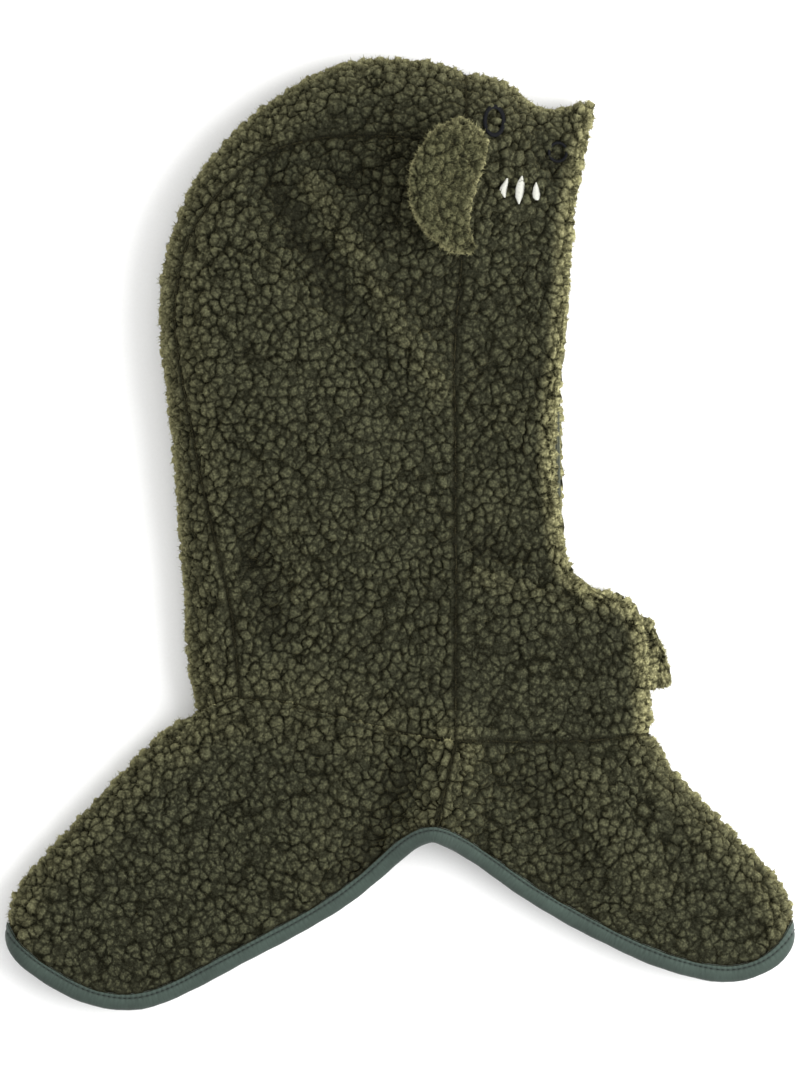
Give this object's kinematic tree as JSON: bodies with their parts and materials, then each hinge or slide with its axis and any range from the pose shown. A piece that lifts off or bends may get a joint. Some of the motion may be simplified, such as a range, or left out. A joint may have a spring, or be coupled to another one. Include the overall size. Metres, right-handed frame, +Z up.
{
  "type": "teddy fleece hood with ears",
  "caption": "Child's curly fleece hood with two round ears, an open face, a chin tab and a short bound shoulder cape, lying flat on its side.",
  "frame": {"origin": "middle of the footprint, on the surface that the hood lies on", "axes": "+Z up from that surface through both layers, +Y from the cape to the crown, +X from the back of the head to the face opening"},
  "size_m": [0.363, 0.437, 0.0703],
  "materials": {
    "fleece": "curly teddy pile, matt",
    "ear_fleece": "shorter curly teddy pile, matt",
    "binding": "fine jersey tape, matt"
  },
  "bodies": {
    "root": {"crown_gusset": "fleece", "side_panel_right": "fleece", "side_panel_left": "fleece", "front_band": "fleece", "cape_back": "fleece", "cape_front": "fleece", "chin_tab": "fleece", "ear_right": "ear_fleece", "ear_left": "ear_fleece", "hem_binding": "binding"}
  },
  "joints": []
}
